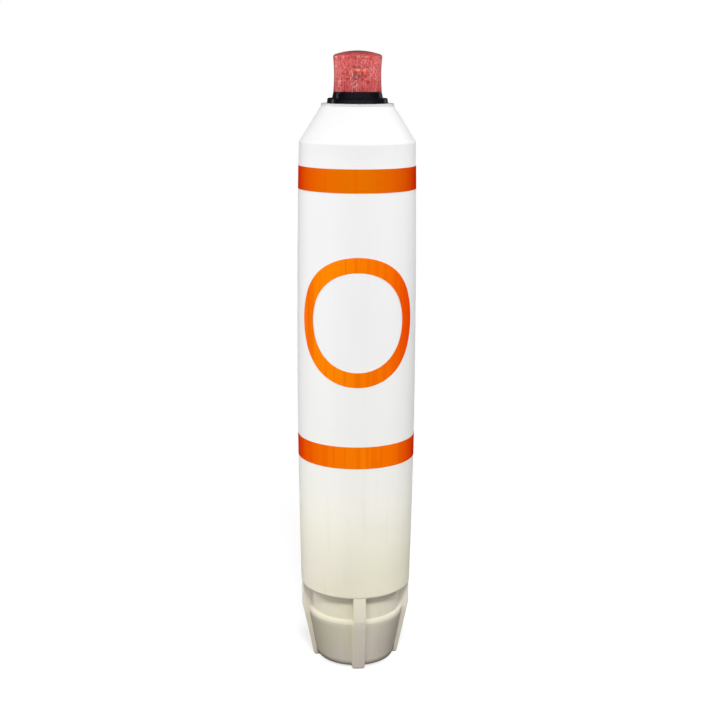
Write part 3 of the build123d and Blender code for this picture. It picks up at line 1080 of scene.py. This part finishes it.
@dataclass
class CanShell:
    """The can with its tape, the laps where each band's ends overlap, and the mould's parting lines."""

    radius: float = 0.135
    bulge_height: float = 0.722
    shoulder_height: float = 1.222
    shoulder_drop: float = 0.0057
    top_radius: float = 0.0805
    top_height: float = 1.2985
    ridge_foot: float = 0.200
    ridge_width: float = 0.0009
    ridge_proud: float = 0.00045
    lap_azimuths: dict[str, float] = field(default_factory=lambda: {"upper_band": 100.0, "lower_band": 78.0})
    lap_length: float = 0.024
    lap_proud: float = 0.00060
    lap_thickness: float = 0.0004
    # Each band's stops across X deepen towards +X as painted shade.
    band_tones_with_shade: dict[str, Stops] = field(default_factory=lambda: {
        "upper_band": (
            (0.0, ink(226, 138, 14)), (0.5, ink(226, 146, 10)), (0.8, ink(218, 132, 12)), (1.0, ink(206, 112, 16))),
        "lower_band": (
            (0.0, ink(240, 148, 14)), (0.5, ink(255, 168, 12)), (0.8, ink(250, 158, 12)), (1.0, ink(236, 136, 16))),
    })
    sign_middle: float = 0.8365
    sign_azimuths: dict[str, float] = field(default_factory=lambda: {"front_ring": -93.3, "back_ring": 86.7})

    def radius_at(self, z: np.ndarray) -> np.ndarray:
        """Radius of the can at heights: an arc up to the shoulder and a cone above, joined by a soft minimum.

        Args:
            z: Heights.

        Returns:
            Radii.
        """
        span = self.shoulder_height - self.bulge_height
        arc = (span**2 + self.shoulder_drop**2) / (2 * self.shoulder_drop)
        barrel = self.radius - arc + np.sqrt(arc**2 - (z - self.bulge_height) ** 2)
        shoulder = self.radius - self.shoulder_drop
        slope = (shoulder - self.top_radius) / (self.top_height - self.shoulder_height)
        cone = shoulder - slope * (z - self.shoulder_height)
        soft = 0.0005
        return -soft * np.log(np.exp((barrel - shoulder) / -soft) + np.exp((cone - shoulder) / -soft)) + shoulder

    def parting_line(self, side: int) -> np.ndarray:
        """Thin ridge up one side of the can.

        At each height its section is an ellipse about the can's surface: out = p sin a, across = w cos a, both
        shrinking to nothing at the two ends as the root of the distance to them.

        Args:
            side: 1 for +X and -1 for -X.

        Returns:
            Grid of points, closed at its ends.
        """
        share = np.linspace(0, 1, 160)[:, None]
        z = self.ridge_foot + share * (self.top_height - 0.004 - self.ridge_foot)
        size = np.sqrt(np.clip(np.minimum(share, 1 - share) / 0.01, 0, 1))
        a = np.arange(12)[None, :] * tau / 12
        out = self.radius_at(z) + self.ridge_proud * size * np.sin(a)
        across = self.ridge_width * size * np.cos(a)
        return np.stack([side * out, across, z + 0 * a], axis=-1)

    def lap(self, low: float, high: float, azimuth: float) -> np.ndarray:
        """End of a band where it overlaps its start.

        A flat rounded loop about the tape's cross-section, z = m + h C(a) and out = t S(a), with C and S powers of
        cosine and sine, is carried along the azimuth on the can's surface.

        Args:
            low: Lower edge of the band.
            high: Upper edge.
            azimuth: Azimuth of the lap's middle, in radians.

        Returns:
            Grid of points, open at both ends.
        """
        a = np.arange(40)[None, :] * tau / 40
        rise, fall = (np.sign(wave) * np.abs(np.round(wave, 12)) ** 0.3 for wave in (np.cos(a), np.sin(a)))
        z = (low + high) / 2 + (high - low) / 2 * 0.998 * rise
        reach = self.lap_length / 2 / self.radius
        turn = azimuth + np.linspace(-reach, reach, 24)[:, None]
        out = self.radius_at(z) + self.lap_proud + self.lap_thickness / 2 * (1 + fall) - 0.0001
        return np.stack([out * np.cos(turn), out * np.sin(turn), z + 0 * turn], axis=-1)

    def build(self) -> None:
        """Makes the parting lines and the laps, and dresses the can and its tape."""
        dress(CAN, "hull")
        Shell().add(self.parting_line(1)).add(self.parting_line(-1)).piece("parting_lines", CAN)
        for band, azimuth in self.lap_azimuths.items():
            low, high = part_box(band)
            tape = MarkerTape("tape_" + band, middle=(low.z + high.z) / 2, tones=self.band_tones_with_shade[band])
            dress(tape, band)
            Shell().add(self.lap(low.z, high.z, radians(azimuth))).piece(band + "_lap", tape)
        for ring, azimuth in self.sign_azimuths.items():
            turn = radians(azimuth)
            dress(MarkerTape("tape_" + ring, cut=TapeCut.RING, middle=self.sign_middle, azimuth=turn), ring)


@dataclass
class MooringGear:
    """Eye, nut and plate under the base, the plate's four bolts, and the two screw plugs with their seals."""

    bolt_circle: float = 0.0290
    bolt_flats: float = 0.010
    bolt_height: float = 0.0045
    washer_radius: float = 0.0068
    washer_thickness: float = 0.0012
    plug_circle: float = 0.072
    plug_azimuths: Pair = (45.0, 225.0)
    plug_floor: float = 0.004
    seal_radius: float = 0.0092
    seal_section: float = 0.0009

    def seal(self) -> np.ndarray:
        """Flat rubber washer whose rim bulges.

        Its outline is (R + s cos a, s/2 sin a), for a from -90 to 90 degrees, turned about Z.

        Returns:
            Grid of points, closed at its poles.
        """
        bulge = np.linspace(-pi / 2, pi / 2, 8)
        rim = self.seal_section * np.stack([np.cos(bulge), np.sin(bulge) / 2], axis=1) + (self.seal_radius, 0.0)
        return carried_round(np.concatenate([[(0.0, rim[0, 1])], rim, [(0.0, rim[-1, 1])]]), 40)

    def build(self) -> None:
        """Makes the bolts, washers and seals, and dresses the fittings."""
        dress(ZINC, "mooring_eye", "mooring_nut", "mooring_plate")
        dress(IRON, "ballast_block")
        dress(PLUG, "fill_plug", "vent_plug")
        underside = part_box("mooring_plate")[0].z
        ring = washer(self.washer_radius, self.washer_thickness, self.washer_radius * 0.04)
        head = hex_head(self.bolt_flats, self.bolt_height)
        bolts, washers, seals = Shell(), Shell(), Shell()
        for x, y, angle in on_circle(4, self.bolt_circle, pi / 4):
            washers.add(moved(ring, (x, y, underside), angle, True))
            bolts.add(moved(head, (x, y, underside - self.washer_thickness), angle, True))
        for turn in map(radians, self.plug_azimuths):
            place = (self.plug_circle * cos(turn), self.plug_circle * sin(turn), self.plug_floor)
            seals.add(moved(self.seal(), place))
        washers.piece("plate_washers", ZINC)
        bolts.piece("plate_bolts", ZINC)
        seals.piece("plug_seals", RUBBER)


@dataclass
class LanternBase:
    """Metal plate, screwed-down flange, collar and seal, with the flange's screws and washers."""

    screw_count: int = 4
    screw_circle: float = 0.06055
    pocket_depth: float = 0.0045
    head_radius: float = 0.0032
    head_height: float = 0.0022
    washer_radius: float = 0.0036
    washer_thickness: float = 0.0005

    def build(self) -> None:
        """Makes the screws and washers, and dresses the base."""
        dress(PLATE, "top_plate")
        dress(BLACK, "lantern_flange", "lantern_collar")
        dress(RUBBER, "lens_seal")
        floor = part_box("lantern_flange")[1].z - self.pocket_depth
        ring = washer(self.washer_radius, self.washer_thickness)
        head = screw_head(self.head_radius, self.head_height, Recess.CROSS)
        screws, washers = Shell(), Shell()
        for index, (x, y, angle) in enumerate(on_circle(self.screw_count, self.screw_circle, pi / 4)):
            washers.add(moved(ring, (x, y, floor), angle))
            screws.add(moved(head, (x, y, floor + self.washer_thickness), angle + 0.7 * index))
        screws.piece("flange_screws", STAINLESS)
        washers.piece("flange_washers", STAINLESS)


@dataclass
class SolarHead:
    """White tray and cut-cornered panel under the dome, with the panel's cells and the ribbons that join them."""

    strip_count: int = 6
    strip_width: float = 0.0088
    strip_pitch: float = 0.0094
    strip_thickness: float = 0.0004
    corner_sum: float = 0.046
    margin: float = 0.0020
    ribbon_width: float = 0.0010
    ribbon_length: float = 0.0560
    ribbon_places: Pair = (-0.0075, 0.0075)
    ribbon_thickness: float = 0.00025

    def build(self) -> None:
        """Makes the cells, as long as the cut corners let them be, and the ribbons, and dresses tray and panel."""
        dress(TRAY_WHITE, "solar_tray")
        dress(SHEET, "solar_panel")
        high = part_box("solar_panel")[1]
        cells, ribbons = Shell(), Shell()
        for x in (np.arange(self.strip_count) - (self.strip_count - 1) / 2) * self.strip_pitch:
            reach = min(high.y, self.corner_sum - abs(x) - self.strip_width / 2) - self.margin
            tile = soft_block((self.strip_width, 2 * reach, 2 * self.strip_thickness), 0.10, 8, 40)
            cells.add(moved(tile, (x, 0, high.z)))
        ribbon = soft_block((self.ribbon_length, self.ribbon_width, 2 * self.ribbon_thickness), 0.15, 6, 24)
        for y in self.ribbon_places:
            ribbons.add(moved(ribbon, (0, y, high.z + self.strip_thickness)))
        cells.piece("solar_cells", CELL)
        ribbons.piece("solar_ribbons", TIN)


@dataclass
class LampBoard:
    """Round circuit board on its posts, with the lamp tower, terminal block and small parts.

    A chip is its X, Y, length and width, and a screw its radius and height. The block_ sizes bound the place that
    the small parts leave to the terminal block.
    """

    post_circle: float = 0.0395
    chips: tuple[tuple[float, ...], ...] = (
        (0.020, 0.018, 0.010, 0.0065), (-0.008, 0.027, 0.007, 0.007), (0.029, -0.004, 0.005, 0.004))
    chip_height: float = 0.0016
    leg: Triple = (0.0004, 0.0014, 0.0005)
    leg_pitch: float = 0.00127
    small_parts: int = 14
    spiral_turn: float = 2.39996
    spiral_start: float = 0.0150
    spiral_step: float = 0.0014
    resistor: Triple = (0.0018, 0.0014, 0.0007)
    resistor_end: Triple = (0.0006, 0.0015, 0.0008)
    resistor_reach: float = 0.0010
    block_end: float = -0.012
    block_front: float = -0.024
    block_back: float = -0.008
    post_screw: Pair = (0.0026, 0.0017)
    clamp_screw: Pair = (0.0019, 0.0010)
    capacitor_radius: float = 0.0042
    capacitor_height: float = 0.0095
    capacitor_place: Pair = (0.021, -0.021)
    choke_radius: float = 0.0050
    choke_height: float = 0.0046
    choke_place: Pair = (0.003, -0.028)
    tower_face: float = 0.009
    lamp_rise: float = 0.021
    lamp_pad: Triple = (0.0012, 0.0078, 0.0090)

    @property
    def top(self) -> float:
        """Height of the board's face."""
        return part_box("circuit_board")[1].z

    def build(self) -> None:
        """Makes the small parts, and dresses the board and what stands on it."""
        dress(BOARD, "circuit_board")
        dress(TIN, "board_standoffs")
        dress(TERMINAL, "terminal_block")
        dress(TOWER, "lamp_tower", "tower_cap")
        dress(AMBER, "lamps")
        self.build_chips()
        self.build_resistors()
        self.build_coil_and_can()
        self.build_screws()
        self.build_lamp_pads()

    def build_chips(self) -> None:
        """Chips with their rows of legs."""
        bodies, legs = Shell(), Shell()
        leg = soft_block(self.leg, 0.3, 6, 12)
        for x, y, long, wide in self.chips:
            body = soft_block((long, wide, self.chip_height), 0.12)
            bodies.add(moved(body, (x, y, self.top + 0.0003 + self.chip_height / 2)))
            for side in (-1, 1):
                for step in np.arange(-long / 2 + 0.001, long / 2 - 0.0005, self.leg_pitch):
                    legs.add(moved(leg, (x + step, y + side * (wide / 2 + 0.0004), self.top + self.leg[2] / 2)))
        bodies.piece("board_chips", CHIP)
        legs.piece("chip_legs", TIN)

    def build_resistors(self) -> None:
        """Chip resistors on a spiral of places that leaves out the terminal block's, each with two tinned ends."""
        bodies, ends = Shell(), Shell()
        body, end = soft_block(self.resistor, 0.2, 6, 12), soft_block(self.resistor_end, 0.3, 6, 12)
        for index in range(self.small_parts):
            angle = index * self.spiral_turn + 0.4
            reach = self.spiral_start + self.spiral_step * index
            x, y = reach * cos(angle), reach * sin(angle)
            if x < self.block_end and self.block_front < y < self.block_back:
                continue
            bodies.add(moved(body, (x, y, self.top + self.resistor[2] / 2), angle))
            for shift in (-self.resistor_reach, self.resistor_reach):
                place = (x + shift * cos(angle), y + shift * sin(angle), self.top + self.resistor_end[2] / 2)
                ends.add(moved(end, place, angle))
        bodies.piece("board_resistors", CERAMIC)
        ends.piece("resistor_ends", TIN)

    def build_coil_and_can(self) -> None:
        """Capacitor can with a rolled neck, and a choke whose nine turns bulge: r = R - t cos(u)^4 up its height."""
        r, h = self.capacitor_radius, self.capacitor_height
        can = np.array([
            (0.0, 0.0), (r, 0.0), (r, 0.0012), (r * 0.93, 0.0017), (r, 0.0022), (r, h - 0.0005), (r * 0.9, h),
            (r * 0.55, h - 0.0002), (0.0, h - 0.0003),
        ])
        bulges = np.abs(np.cos(np.linspace(0, 9 * pi, 72))) ** 4
        coil = np.stack([self.choke_radius - 0.0012 * bulges, np.linspace(0.0, self.choke_height, 72)], axis=1)
        Shell().add(moved(carried_round(can), (*self.capacitor_place, self.top))).piece("board_capacitor", TIN)
        Shell().add(moved(carried_round(coil), (*self.choke_place, self.top))).piece("board_choke", CERAMIC)

    def build_screws(self) -> None:
        """Screws into the posts, and the terminal block's two clamp screws."""
        screws = Shell()
        cross = screw_head(*self.post_screw, Recess.CROSS, 18, 48)
        slotted = screw_head(*self.clamp_screw, Recess.SLOT, 18, 48)
        for index, (x, y, angle) in enumerate(on_circle(3, self.post_circle)):
            screws.add(moved(cross, (x, y, self.top), angle + index))
        low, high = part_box("terminal_block")
        for share in (0.3, 0.7):
            screws.add(moved(slotted, (low.x + share * (high.x - low.x), (low.y + high.y) / 2, high.z), share))
        screws.piece("board_screws", STAINLESS)

    def build_lamp_pads(self) -> None:
        """Square pads that carry the lamps on the tower's faces."""
        pads = Shell()
        pad = soft_block(self.lamp_pad, 0.15, 8, 24)
        for x, y, angle in on_circle(6, self.tower_face, pi / 6):
            pads.add(moved(pad, (x, y, self.top + self.lamp_rise), angle))
        pads.piece("lamp_pads", CERAMIC)


@dataclass(frozen=True)
class SoftLamp:
    """A soft lamp: where it stands, its power, what it is aimed at, its size, and whether gloss shows it."""

    name: str
    place: Triple
    power: float
    aim: Triple = (0.0, 0.0, 0.7)
    size: Pair = (2.0, 2.8)
    shows_in_gloss: bool = False

    def build(self) -> None:
        """Makes the lamp."""
        lamp = bpy.data.lights.new(self.name, "AREA")
        lamp.shape = "RECTANGLE"
        lamp.size, lamp.size_y = self.size
        lamp.energy = self.power
        made = bpy.data.objects.new(self.name, lamp)
        toward = (Vector(self.aim) - Vector(self.place)).to_track_quat("-Z", "Y")
        made.matrix_world = Matrix.Translation(self.place) @ toward.to_matrix().to_4x4()
        made.visible_glossy = self.shows_in_gloss
        bpy.context.scene.collection.objects.link(made)


@dataclass
class Studio:
    """Pale floor, plain soft light and the camera."""

    floor_reach: float = 30.0
    floor_lines: int = 9
    floor_bounce: Colour = ink(125, 125, 125)
    floor_seen: Colour = ink(170, 170, 170)
    floor_fill: float = 0.64
    floor_near: float = 0.45
    floor_far: float = 1.30
    sky_level: float = 0.05
    ground_level: float = 0.03
    front_gloss: float = 0.70
    back_gloss: float = 0.06
    lamps: tuple[SoftLamp, ...] = (
        SoftLamp("left", (-5.58, 0.98, 1.30), 112.0),
        SoftLamp("front_left", (-2.40, -5.14, 1.90), 62.0),
        SoftLamp("front_right", (4.02, -4.02, 1.90), 40.0),
        SoftLamp("right", (5.58, -0.98, 2.80), 40.0, (0.0, 0.0, 1.0)),
        SoftLamp("right_top", (1.30, 0.25, 1.75), 4.0, (0.0, 0.0, 1.15), (0.5, 0.5)),
        SoftLamp("left_high", (-4.24, -0.74, 4.58), 86.0, size=(1.8, 1.8)),
        SoftLamp("front_high", (0.0, -6.10, 6.40), 448.0, size=(1.4, 1.4)),
        SoftLamp("front_low", (-0.50, -5.70, 0.80), 30.0, (0.0, 0.0, 0.1), (1.2, 1.2)),
        SoftLamp("right_high", (4.24, -0.74, 4.58), 86.0, size=(1.8, 1.8)),
        SoftLamp("back_left", (-4.40, 4.40, 1.90), 44.0),
        SoftLamp("back_right", (4.40, 4.40, 3.40), 32.0, (0.0, 0.0, 1.2), (2.0, 2.4)),
        SoftLamp("left_strip", (-2.36, 1.00, 1.35), 4.0, (0.0, 0.0, 1.3), (0.20, 1.2), True),
        SoftLamp("right_strip", (2.15, 1.57, 1.35), 2.0, (0.0, 0.0, 1.3), (0.16, 1.2), True),
        SoftLamp("left_spark", (-1.75, -1.15, 0.95), 1.2, (0.0, 0.0, 1.38), (0.16, 0.16), True),
        SoftLamp("right_spark", (2.0, 0.20, 1.05), 0.8, (0.0, 0.0, 1.38), (0.16, 0.16), True),
    )
    camera_azimuth: float = -4.8
    camera_distance: float = 2.8709
    camera_height: float = 1.3924
    camera_pitch: float = 13.103
    camera_pan: float = 0.1685
    camera_roll: float = 0.295
    focal_pixels: float = 1280.22
    frame_pixels: int = 720
    sensor: float = 36.0

    @staticmethod
    def seen(graph: Graph) -> Wire:
        """1 for rays that come straight from the camera or through glass, else 0.

        Args:
            graph: The graph that it is for.

        Returns:
            The mask.
        """
        rays = graph.node("LightPath").socket.node.outputs
        direct, through = (Wire(graph, rays[name]) for name in ("Is Camera Ray", "Is Transmission Ray"))
        return graph.math("MAXIMUM", direct, through)

    def build_floor(self) -> None:
        """Pale floor: it looks white, with a soft shadow near the buoy, and sends back less light than it shows."""
        mesh = bpy.data.meshes.new("floor")
        line = np.linspace(-self.floor_reach, self.floor_reach, self.floor_lines)
        x, y = np.meshgrid(line, line)
        points = np.stack([x, y, np.zeros_like(x)], axis=-1).reshape(-1, 3)
        index = np.arange(x.size).reshape(x.shape)
        quads = np.stack([index[:-1, :-1], index[:-1, 1:], index[1:, 1:], index[1:, :-1]], axis=-1).reshape(-1, 4)
        mesh.from_pydata(points.tolist(), [], quads.tolist())
        material = bpy.data.materials.new("pale_floor")
        material.use_nodes = True
        graph = Graph(material.node_tree)
        bounce = graph.node("BsdfDiffuse", {}, {"Color": self.floor_bounce})
        shown = graph.node("BsdfDiffuse", {}, {"Color": self.floor_seen})
        fill = graph.node("Emission", {}, {"Strength": self.floor_fill})
        near = graph.node("AddShader", {}, {0: shown, 1: fill})
        far = graph.node("Emission", {}, {"Strength": 1.0})
        across, along, _ = graph.split(graph.place())
        away = length(across, along).rise(self.floor_near, self.floor_far)
        lit = graph.node("MixShader", {}, {0: away, 1: near, 2: far})
        surface = graph.node("MixShader", {}, {0: self.seen(graph), 1: bounce, 2: lit})
        graph.node("OutputMaterial", {}, {"Surface": surface})
        mesh.materials.append(material)
        floor = bpy.data.objects.new("floor", mesh)
        bpy.context.scene.collection.objects.link(floor)

    def build_sky(self) -> None:
        """White to look at, dim as light, and in gloss a room that is paler in front of the buoy than behind it."""
        world = bpy.data.worlds.new("soft_room")
        bpy.context.scene.world = world
        world.use_nodes = True
        graph = Graph(world.node_tree)
        _, back, up = graph.split(graph.node("TexCoord", output="Generated"))
        soft = self.ground_level + (self.sky_level - self.ground_level) * up.rise(-0.4, 0.5)
        room = self.back_gloss + (self.front_gloss - self.back_gloss) * back.rise(-0.1, -0.95) * up.rise(0.8, 0.1)
        gloss = Wire(graph, graph.node("LightPath").socket.node.outputs["Is Glossy Ray"])
        seen = self.seen(graph)
        strength = seen + (1 - seen) * (gloss * room + (1 - gloss) * soft)
        background = graph.node("Background", {}, {"Color": (1.0, 1.0, 1.0, 1.0), "Strength": strength})
        graph.node("OutputWorld", {}, {"Surface": background})

    def build_camera(self) -> None:
        """Camera turned, in order, by its azimuth, pan, pitch and roll."""
        lens = bpy.data.cameras.new("camera")
        lens.sensor_width = self.sensor
        lens.lens = self.focal_pixels * self.sensor / self.frame_pixels
        lens.clip_end = 100.0
        camera = bpy.data.objects.new("camera", lens)
        turn = radians(self.camera_azimuth)
        place = (self.camera_distance * sin(turn), -self.camera_distance * cos(turn), self.camera_height)
        camera.matrix_world = (
            Matrix.Translation(place)
            @ Matrix.Rotation(turn - radians(self.camera_pan), 4, "Z")
            @ Matrix.Rotation(pi / 2 - radians(self.camera_pitch), 4, "X")
            @ Matrix.Rotation(radians(self.camera_roll), 4, "Z")
        )
        bpy.context.scene.collection.objects.link(camera)
        bpy.context.scene.camera = camera

    def build(self) -> None:
        """Makes the whole studio."""
        self.build_camera()
        self.build_floor()
        self.build_sky()
        for lamp in self.lamps:
            lamp.build()
        bpy.context.scene.view_settings.view_transform = "Standard"


def main() -> None:
    """Builds the studio and the buoy's sub-assemblies in order."""
    logging.basicConfig(level=logging.INFO, format="%(name)s: %(message)s")
    Studio().build()
    CanShell().build()
    MooringGear().build()
    LanternBase().build()
    dress(LENS, "lens")
    SolarHead().build()
    LampBoard().build()
    dress(WRAP, "battery_cells")
    dress(TRAY, "battery_holder")


if __name__ == "__main__":
    main()
